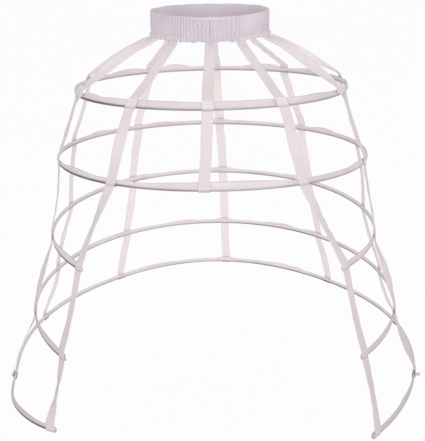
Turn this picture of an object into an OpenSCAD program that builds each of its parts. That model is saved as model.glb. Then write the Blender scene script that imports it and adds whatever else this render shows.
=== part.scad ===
// Crinoline cage: a gathered waistband, ten hanging tapes and five hoops.
// Each hoop is a flat spring steel in a sewn cloth casing. The upper two
// hoops are closed rings. The lower three are open at the front.
// Millimetres. Z is up, the wearer faces -Y, and the origin is the centre
// of the waist opening at half the height of the band.

/* [Waistband] */
// Outside width of the gathered band, side to side
waist_width = 236; // [190:1:420]
// Outside depth of the gathered band, front to back
waist_depth = 200; // [160:1:380]
// Height of the band from its seam to its top fold
band_height = 40; // [32:1:70]
// How much lower the band sits at the front
front_dip = 8; // [0:1:20]
// Number of gathers round the band
gathers = 52; // [30:1:60]
// Depth of the deepest gather
gather_depth = 2.6; // [0.5:0.1:4]
// Length of the frill under the seam
frill_length = 6; // [4:1:16]
// How far the frill stands out at its edge
frill_flare = 4; // [1:0.5:8]
// How uneven the edge of the frill is
frill_ruffle = 1.5; // [0:0.5:4]
// Thickness of the band cloth
band_cloth = 1; // [0.6:0.1:1.6]
// Thickness of the elastic in the band
elastic_thickness = 1.6; // [1:0.1:2.4]
// How far the tape ends reach up inside the band
tape_entry = 9; // [6:1:12]

/* [Hoops] */
// Width of hoop 1, the smallest and highest
hoop_1_width = 540; // [440:1:620]
// Width of hoop 2
hoop_2_width = 626; // [540:1:700]
// Width of hoop 3
hoop_3_width = 672; // [600:1:760]
// Width of hoop 4
hoop_4_width = 764; // [680:1:860]
// Width of hoop 5, the largest and lowest
hoop_5_width = 858; // [760:1:980]
// Full depth of hoop 3, as if it were closed at the front
hoop_3_depth = 766; // [660:1:860]
// Full depth of hoop 4
hoop_4_depth = 904; // [780:1:1000]
// Full depth of hoop 5
hoop_5_depth = 1014; // [880:1:1120]
// Drop of hoop 1 below the middle of the band
hoop_1_drop = 132; // [100:1:160]
// Drop of hoop 2
hoop_2_drop = 266; // [220:1:300]
// Drop of hoop 3
hoop_3_drop = 424; // [370:1:470]
// Drop of hoop 4
hoop_4_drop = 583; // [520:1:640]
// Drop of hoop 5
hoop_5_drop = 714; // [660:1:800]
// How far the lower three hoops are set back
hoop_setback = 15; // [0:1:40]
// How much the upper two hoops rise to the front, in degrees
upper_tilt = 1.6; // [-4:0.1:4]
// How much the lower three hoops fall to the front, in degrees
lower_tilt = 0.9; // [-3:0.1:3]
// How far the left end of hoop 5 bows out
bottom_bow = 20; // [0:1:30]
// How far the left tip of hoop 5 turns in
bottom_tuck = 14; // [0:1:20]
// How much lower hoop 2 hangs at its right side
hoop_2_lean = 4; // [0:0.5:10]
// How far hoop 5 sags between the sides and the back
hoop_5_sag = 7; // [0:0.5:14]

/* [Casings] */
// Height of a casing from its lower fold to its upper edge
casing_height = 15; // [13:0.5:22]
// How much the upper edge rises in its waves
casing_wave = 3; // [0:0.5:5]
// How far the upper edge leans in at the waves
casing_lean = 2.4; // [0:0.2:4]
// Thickness of the casing cloth
casing_cloth = 0.8; // [0.5:0.1:1.2]

/* [Steels] */
// Height of the flat spring steel
steel_height = 6; // [4:0.5:9]
// Thickness of the flat spring steel
steel_thickness = 1.2; // [0.8:0.1:2]
// Length of the sleeve that joins the ends of a closed hoop
joiner_length = 24; // [16:1:32]
// Length of the cap on each end of an open hoop
tip_length = 7; // [5:0.5:8]
// Wall of the sleeves and caps
tip_wall = 0.45; // [0.3:0.05:0.6]
// Room round the steel inside a sleeve or cap
tip_room = 0.15; // [0.1:0.05:0.3]

/* [Tapes] */
// Width of each tape
tape_width = 20; // [14:1:28]
// Thickness of each tape
tape_thickness = 0.8; // [0.5:0.1:1.4]
// Room between a tape and the casing under it
tape_room = 0.3; // [0.3:0.05:0.8]
// How far the slack of a tape bows between two hoops
tape_slack = 4; // [0:0.5:10]
// How far the left front tape is twisted above hoop 5, in degrees
tape_twist = 55; // [0:5:80]
// How far a side tape slants across hoop 1, in degrees of the hoop
side_slant = 8; // [0:0.5:10]
// How far the side tapes are turned between the band and hoop 1, in degrees
side_turn = 58; // [0:2:70]

/* [Tape places] */
// Degrees from the front, on the band, on hoop 1, on hoop 2 and on the lower hoops: front centre tape
front_centre_places = [0, -1.5, -2.8, -2.8]; // [-6:0.1:6]
// Left front tape
front_left_places = [39, 33, 36.5, 48.5]; // [20:0.5:60]
// Right front tape
front_right_places = [31, 27.5, 30, 46]; // [20:0.5:60]
// Left side tape
side_left_places = [100, 71, 72, 76]; // [60:0.5:110]
// Right side tape
side_right_places = [100, 68, 69, 73]; // [60:0.5:110]
// Left back side tape
back_side_left_places = [126, 109, 109, 109]; // [98:0.5:134]
// Right back side tape
back_side_right_places = [126, 102, 102, 102]; // [98:0.5:134]
// Left back tape
back_left_places = [142, 150, 148, 146]; // [130:0.5:160]
// Right back tape
back_right_places = [146, 143, 139.5, 138]; // [130:0.5:160]
// Back centre tape
back_centre_places = [180, 177.5, 176.5, 175.5]; // [168:0.5:190]
// Left and right front tape on hoop 5
end_places = [48, 43]; // [36:0.5:60]

/* [Hidden] */

// Room between the band cloth and the elastic or tape in it
ease = 0.4;
// Rings of a hoop between two tapes: closed hoops, open hoops
sub_closed = 4;
sub_open = 5;
// Gap between the two ends of a closed casing, behind the back centre tape
seam_gap = 0.6;
// Room between a casing and the tape end turned up inside it
wrap_room = 2.2;
// Length of an open hoop past the middle of its end tape
hoop_over = tape_width / 2 - 1;
cloth_colour = [0.89, 0.85, 0.87];
band_colour = [0.85, 0.81, 0.85];
steel_colour = [0.55, 0.55, 0.58];

function unit(v) = v / norm(v);
function mix(a, b, u) = a + (b - a) * u;

// Hoop centre lines. The angle t runs from the front to the right side.
half_w = [hoop_1_width, hoop_2_width, hoop_3_width, hoop_4_width, hoop_5_width] / 2;
half_d = [hoop_1_width, hoop_2_width, hoop_3_depth, hoop_4_depth, hoop_5_depth] / 2;
back = [0, 0, hoop_setback, hoop_setback, hoop_setback];
drop = [hoop_1_drop, hoop_2_drop, hoop_3_drop, hoop_4_drop, hoop_5_drop];
tilt = [-upper_tilt, -upper_tilt, lower_tilt, lower_tilt, lower_tilt];
lean = [0, hoop_2_lean, hoop_2_lean / 2, 0, 0];
sag = [0, 0, 0, 0, hoop_5_sag];

function bump(t, mid, wide) = exp(-pow((t - mid) / wide, 2));
// The left end of hoop 5 bows out, then turns in at its tip.
function bow(i, t) = i < 4 ? 0
    : bottom_bow * bump(t, 297, 11) - 2 * bottom_tuck * bump(t, 367 - front_left_places[3], 7);
function oval_n(i, t) = unit([sin(t) / half_w[i], -cos(t) / half_d[i], 0]);
function hoop_flat(i, t) = [half_w[i] * sin(t), back[i] - half_d[i] * cos(t), 0] + bow(i, t) * oval_n(i, t);
function hoop_n(i, t) = let (d = hoop_flat(i, t + 0.5) - hoop_flat(i, t - 0.5)) unit([d[1], -d[0], 0]);
function hang(i, t) = lean[i] * max(0, sin(t)) + sag[i] * (cos(t) < 0 ? pow(sin(2 * t), 2) : 0);
function hoop_p(i, t) = let (p = hoop_flat(i, t)) [p[0], p[1], p[1] * tan(tilt[i]) - drop[i] - hang(i, t)];

// Angles of the tapes, in turn round a closed hoop and round an open one
function upper_angles(h) = [back_centre_places[h], 360 - back_left_places[h], 360 - back_side_left_places[h],
    360 - side_left_places[h], 360 - front_left_places[h], 360 + front_centre_places[h],
    360 + front_right_places[h], 360 + side_right_places[h], 360 + back_side_right_places[h],
    360 + back_right_places[h], 360 + back_centre_places[h]];
function lower_angles(i) = [i == 4 ? end_places[1] : front_right_places[3], side_right_places[3],
    back_side_right_places[3], back_right_places[3], back_centre_places[3], 360 - back_left_places[3],
    360 - back_side_left_places[3], 360 - side_left_places[3], 360 - (i == 4 ? end_places[0] : front_left_places[3])];

function between(a, n) = [for (k = [0 : len(a) - 2], j = [0 : n - 1]) mix(a[k], a[k + 1], j / n), a[len(a) - 1]];
function frame_at(i, t) = [hoop_p(i, t), hoop_n(i, t)];
// Angle that the length d takes on hoop i
function reach(i, t, d) = d / norm(hoop_p(i, t + 0.5) - hoop_p(i, t - 0.5));
function frames(i) = i < 2
    ? [for (t = between(upper_angles(i + 1), sub_closed)) frame_at(i, t)]
    : let (a = between(lower_angles(i), sub_open), first = a[0], last = a[len(a) - 1])
      [for (t = concat([first - reach(i, first, hoop_over)], a, [last + reach(i, last, hoop_over)])) frame_at(i, t)];
function step_in(f, g, d) = let (u = d / norm(g[0] - f[0])) [mix(f[0], g[0], u), unit(mix(f[1], g[1], u))];
// The same run of frames, shorter by d at each end, or longer if d is below zero
function trimmed(f, d) = let (n = len(f) - 1)
    concat([step_in(f[0], f[1], d)], [for (k = [1 : n - 1]) f[k]], [step_in(f[n], f[n - 1], d)]);
function put(f, q) = f[0] + f[1] * q[0] + [0, 0, q[1]];

// Solids from rings of points
function walls(n, m, closed, mirrored) = [for (k = [0 : n - (closed ? 1 : 2)], j = [0 : m - 1])
    let (a = k * m + j, b = k * m + (j + 1) % m, c = ((k + 1) % n) * m + (j + 1) % m, d = ((k + 1) % n) * m + j)
    each mirrored && j == m - 1 ? [[a, d, b], [b, d, c]] : [[a, c, b], [a, d, c]]];
// With mirrored, the last face of each ring is split the other way, so a twisted strip keeps its thickness.
module skin(rings, closed = false, mirrored = false) {
    n = len(rings);
    m = len(rings[0]);
    ends = closed ? [] : [[for (j = [0 : m - 1]) j], [for (j = [m - 1 : -1 : 0]) (n - 1) * m + j]];
    polyhedron([for (r = rings) each r], concat(walls(n, m, closed, mirrored), ends), convexity = 10);
}
function bar(w, h) = [[-w, -h], [-w, h], [w, h], [w, -h]];
module rail(f, w, h) { skin([for (g = f) [for (q = bar(w, h)) put(g, q)]]); }

// Sizes inside a casing, from the middle of the steel
sleeve_w = steel_thickness / 2 + tip_room + tip_wall;
sleeve_h = steel_height / 2 + tip_room + tip_wall;
channel_w = sleeve_w + 0.3;
channel_h = sleeve_h + 0.3;
casing_w = channel_w + casing_cloth;
casing_low = channel_h + casing_cloth;
casing_top = casing_height - casing_low;
flange_root = channel_h + 1.4;
flange_w = casing_cloth;

function wave(k, i) = 0.5 - 0.5 * cos(k * 90 + i * 40) * (0.75 + 0.25 * sin(k * 37 + i * 61));
// One ring of a casing: eight points outside, then four round the channel
function casing_ring(g, k, i) =
    let (lean = -casing_lean * wave(k + 1.3, i), top = casing_top + casing_wave * wave(k, i))
    [for (q = concat([[-casing_w, -casing_low], [-casing_w, channel_h], [-flange_w, flange_root],
                      [-flange_w + lean, top], [flange_w + lean, top], [flange_w, flange_root],
                      [casing_w, channel_h], [casing_w, -casing_low]], bar(channel_w, channel_h))) put(g, q)];
function loop_walls(n, first, count, inward) = [for (k = [0 : n - 2], j = [0 : count - 1])
    let (a = k * 12 + first + j, b = k * 12 + first + (j + 1) % count, c = b + 12, d = a + 12)
    each inward ? [[a, b, c], [a, c, d]] : [[a, c, b], [a, d, c]]];
casing_end = [[0, 1, 9, 8], [1, 2, 9], [9, 2, 10], [2, 5, 10], [5, 6, 10], [2, 3, 4, 5], [6, 7, 11, 10], [7, 0, 8, 11]];
module casing(i) {
    f = trimmed(frames(i), i < 2 ? seam_gap / 2 : 0);
    n = len(f);
    color(cloth_colour) polyhedron([for (k = [0 : n - 1]) each casing_ring(f[k], k, i)],
        concat(loop_walls(n, 0, 8, false), loop_walls(n, 8, 4, true), casing_end,
               [for (e = casing_end) [for (j = [len(e) - 1 : -1 : 0]) e[j] + (n - 1) * 12]]), convexity = 10);
}
module steel(i) {
    color(steel_colour) rail(trimmed(frames(i), i < 2 ? 0.5 : 1 + tip_wall + tip_room), steel_thickness / 2, steel_height / 2);
}
// The sleeve sits over the two ends of a closed hoop.
module joiner(i) {
    f = frames(i);
    n = len(f) - 1;
    function run(d) = [step_in(f[n], f[n - 1], d), f[0], step_in(f[0], f[1], d)];
    color(steel_colour) difference() {
        rail(run(joiner_length / 2), sleeve_w, sleeve_h);
        rail(run(joiner_length / 2 + 1), sleeve_w - tip_wall, sleeve_h - tip_wall);
    }
}
module tip(i, left) {
    f = frames(i);
    n = len(f) - 1;
    a = left ? f[n] : f[0];
    b = left ? f[n - 1] : f[1];
    function run(d, e) = left ? [step_in(a, b, e), step_in(a, b, d)] : [step_in(a, b, d), step_in(a, b, e)];
    color(steel_colour) difference() {
        rail(run(1, 1 + tip_length), sleeve_w, sleeve_h);
        rail(run(1 + tip_wall, 2 + tip_length), sleeve_w - tip_wall, sleeve_h - tip_wall);
    }
}

// The band: one strip folded over at the top, gathered on the elastic. Both
// layers run on below the seam, the outer one as a frill.
columns = 2 * gathers;
band_gap = elastic_thickness + 2 * ease;
band_wall = 2 * band_cloth + band_gap + gather_depth;
in_w = waist_width / 2 - band_wall;
in_d = waist_depth / 2 - band_wall;
band_top = band_height / 2;
band_seam = -band_height / 2;
tape_low = band_seam - frill_length - frill_ruffle - 4;

function band_n(t) = unit([sin(t) / in_w, -cos(t) / in_d, 0]);
function dip(t) = -front_dip * pow(0.5 + 0.5 * cos(t), 2);
function band_p(t, r, z) = [in_w * sin(t), -in_d * cos(t), dip(t) + z] + r * band_n(t);
function gather(k, t) = gather_depth * ((k % 2) * (0.7 + 0.3 * sin(k * 137)) * (1 - 0.3 * max(0, sin(t))) + (1 - k % 2) * 0.12 * (1 + sin(k * 71)));
function band_ring(k) =
    let (t = 360 * k / columns, g = gather(k, t), o = band_cloth + band_gap + g, s = o - g * 0.4,
         fl = frill_flare * (0.75 + 0.25 * sin(k * 47)) + g * 0.6,
         low = band_seam - frill_length + frill_ruffle * sin(k * 61) * cos(k * 17))
    [for (q = [[0, band_seam - 3], [0, band_top - 2], [1.2, band_top], [o + band_cloth - 1.2, band_top + 0.3 * g],
               [o + band_cloth, band_top - 2], [s + band_cloth, band_seam + 2], [s + band_cloth + fl, low],
               [s + fl, low], [s, band_seam + 2], [o, band_top - 2 - band_cloth],
               [band_cloth, band_top - 2 - band_cloth], [band_cloth, band_seam - 3]]) band_p(t, q[0], q[1])];
module waistband() { color(band_colour) skin([for (k = [0 : columns - 1]) band_ring(k)], closed = true); }
module waist_elastic() {
    r = band_cloth + ease;
    low = band_seam + tape_entry + 1;
    high = band_top - 2 - band_cloth - ease;
    color(cloth_colour) skin([for (k = [0 : gathers - 1]) let (t = 360 * k / gathers)
        [for (q = [[r, low], [r, high], [r + elastic_thickness, high], [r + elastic_thickness, low]]) band_p(t, q[0], q[1])]], closed = true);
}

// Tapes. A stop is a point, the direction of the width, and a twist.
tape_r = casing_w + tape_room + tape_thickness / 2;
tape_above = casing_top + casing_wave + 2;
tape_below = casing_low + 0.3;
wrap_in = casing_w + wrap_room + tape_thickness / 2;
wrap_low = casing_low + tape_room + tape_thickness + 0.4;

function hoop_along(i, t) = unit(hoop_p(i, t + 0.5) - hoop_p(i, t - 0.5));
function band_along(t) = unit(band_p(t + 0.5, 0, 0) - band_p(t - 0.5, 0, 0));
function at_hoop(i, t, r, z) = [put(frame_at(i, t), [r, z]), hoop_along(i, t), 0];
function at_band(t, z) = [band_p(t, band_cloth + ease + tape_thickness / 2 + 0.2, z), band_along(t), 0];
function slack(a, b, out, amount, turn) = [for (j = [1 : 4]) let (u = j / 5)
    [mix(a[0], b[0], u) + out * amount * sin(180 * u), unit(mix(a[1], b[1], u)), turn * pow(sin(180 * u), 2)]];
// Slack between the band and hoop 1, with most of the turn near the band
function top_slack(a, b, out, amount, turn) = [for (u = [0.1, 0.25, 0.4, 0.6, 0.8])
    [mix(a[0], b[0], u) + out * amount * sin(180 * u), unit(mix(a[1], b[1], u)), turn * sin(180 * pow(u, 0.75))]];
// Stops over hoop i, then down to the next hoop, or round the lowest one,
// and slant is the angle that the tape gains across the hoop.
function over_hoop(i, t, slant) = let (r = tape_r + abs(slant) * 0.1)
    [if (slant != 0) at_hoop(i, t[i] - slant * 1.25, r + 1, tape_above + 5),
     at_hoop(i, t[i] - slant, r, tape_above), at_hoop(i, t[i] - slant / 2, r, casing_top / 2), at_hoop(i, t[i], r, -tape_below)];
function wrap_hoop(i, t) = [at_hoop(i, t[i], tape_r - 0.8, -wrap_low), at_hoop(i, t[i], -wrap_in + wrap_room, -wrap_low),
                            at_hoop(i, t[i], -wrap_in, -tape_below), at_hoop(i, t[i], -wrap_in, channel_h)];
function stops(tw, t, last, sway, turn, slant, top) =
    let (a = at_band(tw, tape_low), b = slant == 0 ? at_hoop(0, t[0], tape_r, tape_above) : over_hoop(0, t, slant)[0])
    concat([at_band(tw, band_seam + tape_entry), at_band(tw, tape_low + 3), a], top_slack(a, b, top == 0 ? band_n(tw) : [0, 0, 1], top == 0 ? -tape_slack / 2 : tape_slack, top),
        [for (i = [0 : last]) each concat(over_hoop(i, t, i == 0 ? slant : 0),
            i == last ? wrap_hoop(i, t)
            : let (c = at_hoop(i, t[i], tape_r, -tape_below - 4))
              concat([c], slack(c, at_hoop(i + 1, t[i + 1], tape_r, tape_above), hoop_n(i, t[i]),
                                tape_slack * sin(sway + i * 97), i == last - 1 ? turn : 7 * sin(sway * 3 + i * 131))))]);
function turned(w, d, a) = w * cos(a) + cross(d, w) * sin(a);
function tape_ring(s, k) =
    let (n = len(s) - 1, d = unit(s[min(k + 1, n)][0] - s[max(k - 1, 0)][0]), p = s[k][0],
         w0 = s[k][1], w = turned(unit(w0 - d * (w0 * d)), d, s[k][2]), m = cross(w, d))
    [for (q = [[-1, -1], [-1, 1], [1, 1], [1, -1]]) p + w * q[0] * tape_width / 2 + m * q[1] * tape_thickness / 2];
module tape(tw, t, last, sway, turn = 0, slant = 0, top = 0) {
    s = stops(tw, t, last, sway, turn, slant, top);
    color(cloth_colour) skin([for (k = [0 : len(s) - 1]) tape_ring(s, k)], mirrored = true);
}
// Angles on the five hoops, from the places of a tape and its place on hoop 5
function on_right(p, end) = [p[1], p[2], p[3], p[3], end];
function on_left(p, end) = [-p[1], -p[2], 360 - p[3], 360 - p[3], 360 - end];

module hoop_1_casing() { casing(0); }
module hoop_2_casing() { casing(1); }
module hoop_3_casing() { casing(2); }
module hoop_4_casing() { casing(3); }
module hoop_5_casing() { casing(4); }
module hoop_1_steel() { steel(0); }
module hoop_2_steel() { steel(1); }
module hoop_3_steel() { steel(2); }
module hoop_4_steel() { steel(3); }
module hoop_5_steel() { steel(4); }
module hoop_1_joiner() { joiner(0); }
module hoop_2_joiner() { joiner(1); }
module hoop_3_tip_left() { tip(2, true); }
module hoop_3_tip_right() { tip(2, false); }
module hoop_4_tip_left() { tip(3, true); }
module hoop_4_tip_right() { tip(3, false); }
module hoop_5_tip_left() { tip(4, true); }
module hoop_5_tip_right() { tip(4, false); }
module tape_front_centre() { tape(front_centre_places[0], on_right(front_centre_places, 0), 1, 20); }
module tape_front_left() { tape(-front_left_places[0], on_left(front_left_places, end_places[0]), 4, 50, tape_twist); }
module tape_front_right() { tape(front_right_places[0], on_right(front_right_places, end_places[1]), 4, 110, -12); }
module tape_side_left() { tape(-side_left_places[0], on_left(side_left_places, side_left_places[3]), 4, 200, 18, -side_slant, -side_turn); }
module tape_side_right() { tape(side_right_places[0], on_right(side_right_places, side_right_places[3]), 4, 260, -18, side_slant, side_turn); }
module tape_back_side_left() { tape(-back_side_left_places[0], on_left(back_side_left_places, back_side_left_places[3]), 4, 310, 8, 0, side_turn); }
module tape_back_side_right() { tape(back_side_right_places[0], on_right(back_side_right_places, back_side_right_places[3]), 4, 10, -8, 0, -side_turn); }
module tape_back_left() { tape(-back_left_places[0], on_left(back_left_places, back_left_places[3]), 4, 75, 6); }
module tape_back_right() { tape(back_right_places[0], on_right(back_right_places, back_right_places[3]), 4, 160, -6); }
module tape_back_centre() { tape(back_centre_places[0], on_right(back_centre_places, back_centre_places[3]), 4, 230, 5); }

waistband();
waist_elastic();
hoop_1_casing();
hoop_2_casing();
hoop_3_casing();
hoop_4_casing();
hoop_5_casing();
hoop_1_steel();
hoop_2_steel();
hoop_3_steel();
hoop_4_steel();
hoop_5_steel();
hoop_1_joiner();
hoop_2_joiner();
hoop_3_tip_left();
hoop_3_tip_right();
hoop_4_tip_left();
hoop_4_tip_right();
hoop_5_tip_left();
hoop_5_tip_right();
tape_front_centre();
tape_front_left();
tape_front_right();
tape_side_left();
tape_side_right();
tape_back_side_left();
tape_back_side_right();
tape_back_left();
tape_back_right();
tape_back_centre();
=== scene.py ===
"""Crinoline cage: a gathered waistband, ten tapes and five cased hoops.

Sizes are in millimetres and become metres when a mesh is made. Z is up and the
wearer faces -Y. Each shape is a function of two parameters on a grid.
"""
import math
from typing import NamedTuple

import bpy
import numpy as np
from mathutils import Matrix, Vector


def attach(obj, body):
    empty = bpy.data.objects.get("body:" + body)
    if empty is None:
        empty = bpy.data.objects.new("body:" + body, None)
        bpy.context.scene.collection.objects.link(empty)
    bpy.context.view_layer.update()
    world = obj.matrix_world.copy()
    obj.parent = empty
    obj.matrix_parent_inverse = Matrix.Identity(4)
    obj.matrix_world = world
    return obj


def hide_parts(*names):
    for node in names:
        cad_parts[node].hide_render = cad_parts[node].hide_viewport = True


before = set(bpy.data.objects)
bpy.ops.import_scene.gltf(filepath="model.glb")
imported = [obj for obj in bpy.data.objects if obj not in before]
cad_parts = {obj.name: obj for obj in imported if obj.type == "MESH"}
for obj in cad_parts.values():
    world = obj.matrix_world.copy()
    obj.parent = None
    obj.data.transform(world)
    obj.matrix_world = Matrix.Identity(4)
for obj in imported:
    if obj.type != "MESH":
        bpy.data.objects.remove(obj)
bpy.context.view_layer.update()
scene = bpy.context.scene
MM = 0.001
UP = np.array([0, 0, 1.0])
FULL_TURN = 6.28

# Waistband as constructed: its size, its dip at the front, its gathers, layers and frill
WAIST_W, WAIST_D, BAND_H, FRONT_DIP = 236.0, 200.0, 40.0, 8.0
GATHER, BAND_CLOTH, BAND_GAP = 2.6, 1.0, 2.4
FRILL_L, FRILL_FLARE, FRILL_RUFFLE = 6.0, 4.0, 1.5
IN_W = WAIST_W / 2 - (2 * BAND_CLOTH + BAND_GAP + GATHER)
IN_D = WAIST_D / 2 - (2 * BAND_CLOTH + BAND_GAP + GATHER)
BAND_TOP, BAND_SEAM = BAND_H / 2, -BAND_H / 2

# Waistband as dressed: steps round it, its gathers, length per degree at the front, and bend of the gathers
BAND_STEPS, GATHERS, PER_DEGREE, GATHER_BEND = 1760, 92, 1.83, 0.9
# Heights of the two rows of shirring, and of the lower edge of the strip turned over at the front
SEAM_ROW, TOP_ROW, STRIP_LOW = BAND_SEAM + 1.5, BAND_TOP - 6.0, BAND_TOP - 7.0
# Degrees from the front: the middle of the strip, where its ends fade, and the upright seam
STRIP_AT, STRIP_ENDS, JOIN_AT = -1.6, (11.5, 14.5), -0.2

# Hoops from the top down: half width, half depth, shift to the back, drop and tilt
HALF_W = np.array([540, 626, 672, 764, 858]) / 2
HALF_D = np.array([540, 626, 766, 904, 1014]) / 2
BACK = np.array([0, 0, 15, 15, 15.0])
DROP = np.array([132, 266, 424, 583, 714.0])
TILT = np.tan(np.radians([-1.6, -1.6, 0.9, 0.9, 0.9]))
# How much lower the right side hangs, and how far the back sags on either side of its middle
LEAN = np.array([0, 4, 2, 0, 0.0])
SAG = np.array([0, 0, 0, 0, 7.0])
# The upper two hoops are closed rings, and the lowest has a left end that bows out and a tip that turns in
CLOSED, LOWEST = 2, 4
BOW, BOW_AT, BOW_SPREAD = 20, 297, 11
TIP, TIP_AT, TIP_SPREAD = 28, 318.5, 7

# Casings: half thickness round the steel, heights of the stitch line and the loose edge, and a petal's foot
CASING_W, STITCH_LINE, CASING_TOP, PETAL_FOOT = 2.3, 4.6, 10.3, 5.2
# Step along a casing, its length past the last tape of an open hoop, and its flat width in metres
CASING_STEP, CASING_END, CASING_FLAT_W = 1.7, 12.0, 0.030
# Heights of the rows round the steel, and shares of the way from the stitch line to the loose edge
FOLD_ROWS = np.array([-4.69, -4.5, -3.9, -2.8, -1.2, 0.6, 2.2, 3.3, 4.1])
LOOSE_ROWS = np.array([0.12, 0.35, 0.6, 0.85, 0.97])
# Length of the loose cloth on the UV map, and height of the fold's bottom on the inside
LOOSE_LENGTH, FOLD_INSIDE = 5.9, -4.1

# Tapes: width, thickness, distance from the hoop's line, and length inside the band
TAPE_W, TAPE_T, TAPE_R, TAPE_ENTRY = 20.0, 0.8, 3.0, 9.0
# Reach over a hoop, above and below its line, and of the end that is turned under
TAPE_ABOVE, TAPE_BELOW, WRAP_IN, WRAP_LOW = 12.0, 5.0, 3.6, 6.0
# How high the turned-up end reaches inside a tape's last hoop: front and side tapes, then back tapes
HEM_FRONT, HEM_BACK = 3.9, -1.5
# Where a tape comes clear of the frill, and how far out it lies between the layers of the band
TAPE_LOW = BAND_SEAM - FRILL_L - FRILL_RUFFLE - 4.0
TAPE_SEAT = BAND_CLOTH + 0.6 + TAPE_T / 2
# Step along a tape, finer steps in each, and how many of those the rounding reaches
TAPE_STEP, FINE_STEPS, BLUR_REACH = 2.2, 4, 28

# Loose tape ends on the lowest hoop: piece, degrees from the front and length
TABS = [("tape_end_right", 73, 8.5), ("tape_end_left", 284, 4.0)]
# Sewing thread: thickness, sides, and the place, lift and swell of each ring along a stitch
THREAD_W, THREAD_SIDES = 0.5, 5
RING_AT = np.array([0, 0.3, 0.7, 1.0])
RING_LIFT = np.array([-0.25, 0.35, 0.35, -0.25])
RING_SWELL = np.array([0.6, 1, 1, 0.6])
# Heights of the two rows of tacks from a hoop's line, and the middles of the stitches across a tape
TACK_ROWS, TACK_PLACES = (7.4, -2.6), np.linspace(-8.4, 8.4, 7)[:, None]


class Tape(NamedTuple):
    """A hanging tape. All but its name are degrees: its places from the front on the band and on each hoop,
    the phase of its sway, its turn below each hoop, its slide over each hoop, and the turn of its top."""

    name: str
    places: tuple
    sway: float
    turns: tuple
    slides: tuple = ()
    top_turn: float = 0

    def slide(self, i):
        """How far the tape moves along hoop i as it crosses it."""
        return self.slides[i] if i < len(self.slides) else 0


TAPES = [
    Tape("tape_front_centre", (0, -1.5, -2.8), 20, (0,)),
    Tape("tape_front_left", (-39, -32.2, -35.8, 311.5, 311.5, 312), 50, (-22, 26, 0, 34), (-2.2, -1.4, -1.2)),
    Tape("tape_front_right", (31, 27.8, 31, 46, 46, 43), 110, (16, -24, 0, -12), (2.0, 1.4, 1.4, 0.6)),
    Tape("tape_side_left", (-100, -71, -72, 284, 284, 284), 200, (0, 0, -20, 18), (-8,), -58),
    Tape("tape_side_right", (100, 68, 69, 73, 73, 73), 260, (0, 0, 32, 24), (8,), 58),
    Tape("tape_back_side_left", (-126, -109, -109, 251, 251, 251), 310, (0, 0, 0, 8), (), 58),
    Tape("tape_back_side_right", (126, 102, 102, 102, 102, 102), 10, (0, 0, 0, -8), (), -58),
    Tape("tape_back_left", (-142, -150, -147.2, 215.2, 215.2, 215.2), 75, (0, 0, 0, 6)),
    Tape("tape_back_right", (146, 143, 139, 136.6, 136.6, 136.6), 160, (0, 0, 0, -6)),
    Tape("tape_back_centre", (180, 177.5, 176.5, 175.5, 175.5, 175.5), 230, (0, 0, 0, 5)),
]

# Loose petals of each casing: where one starts, stands highest and ends, in degrees, and how high it stands
PETALS = [
    [
        (112, 124, 138, 10), (143, 152, 165, 12.5), (189, 199, 205, 13), (212, 222, 234, 11),
        (236, 246, 256, 8.5), (296, 305, 317, 12), (70, 84, 96, 9.5),
    ],
    [
        (119, 125, 134, 11), (171, 177, 184, 9), (228, 234, 241, 9), (334, 364, 389, 13),
        (196, 203, 210, 8), (52, 63, 75, 9.5), (294, 305, 318, 10.5),
    ],
    [
        (168, 175, 185, 10), (136, 141, 150, 9.5), (203, 214, 223, 9), (60, 66, 74, 9),
        (44, 52, 60, 9.5), (286, 305, 316, 12),
    ],
    [
        (134, 140, 143, 9), (147, 151, 161, 10.5), (172, 176, 180, 9.5), (186, 190, 199, 9),
        (205, 226, 242, 8), (288, 306, 316, 11.5), (58, 64, 72, 9),
    ],
    [
        (146, 149, 153, 9.5), (150, 154, 162, 10), (171, 176, 180, 9), (193, 203, 214, 8),
        (225, 236, 248, 7.5), (70, 76, 84, 8), (44, 52, 68, 8.5), (288, 300, 311, 10.5),
    ],
]


# Curves and places


def unit(v):
    """Each row divided by its length."""
    return v / np.linalg.norm(v, axis=-1, keepdims=True)


def smooth(lo, hi, x):
    """A soft step from 0 at lo to 1 at hi."""
    u = np.clip((x - lo) / (hi - lo), 0, 1)
    return u * u * (3 - 2 * u)


def bell(x, at, spread):
    """A bell curve of height 1 at the middle: e to the power of minus the squared distance in spreads."""
    return np.exp(-(((x - at) / spread) ** 2))


def run_length(points):
    """The length along a line of points, at each of them."""
    return np.concatenate([[0], np.cumsum(np.linalg.norm(np.diff(points, axis=0), axis=1))])


def drift(x, seed):
    """A slow wandering curve between about -1 and 1: three sines of unlike pitch added up."""
    g = np.random.default_rng(seed)
    out = np.zeros_like(x, dtype=float)
    for k in range(3):
        out += np.sin(x * (0.7 + k * 0.83 + g.random() * 0.5) + g.random() * FULL_TURN) / (1 + k * 0.6)
    return out / 1.9


def ring_drift(a, low, seed):
    """A wandering curve that meets itself after a full turn: four sines of whole pitch from low up."""
    g = np.random.default_rng(seed)
    out = np.zeros_like(a)
    for k in range(4):
        out += np.sin((low + k * (2 + low // 4)) * a + g.random() * FULL_TURN) / (1 + 0.5 * k)
    return out / 1.7


def marks(i):
    """The angles of the tapes on hoop i in turn, from one end of its casing to the other."""
    at = [tape.places[i + 1] for tape in TAPES if len(tape.places) > i + 1]
    if i >= CLOSED:
        return np.sort(at)
    start = at[-1]
    return np.array([start] + sorted((x - start) % 360 + start for x in at[:-1]) + [start + 360])


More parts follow.
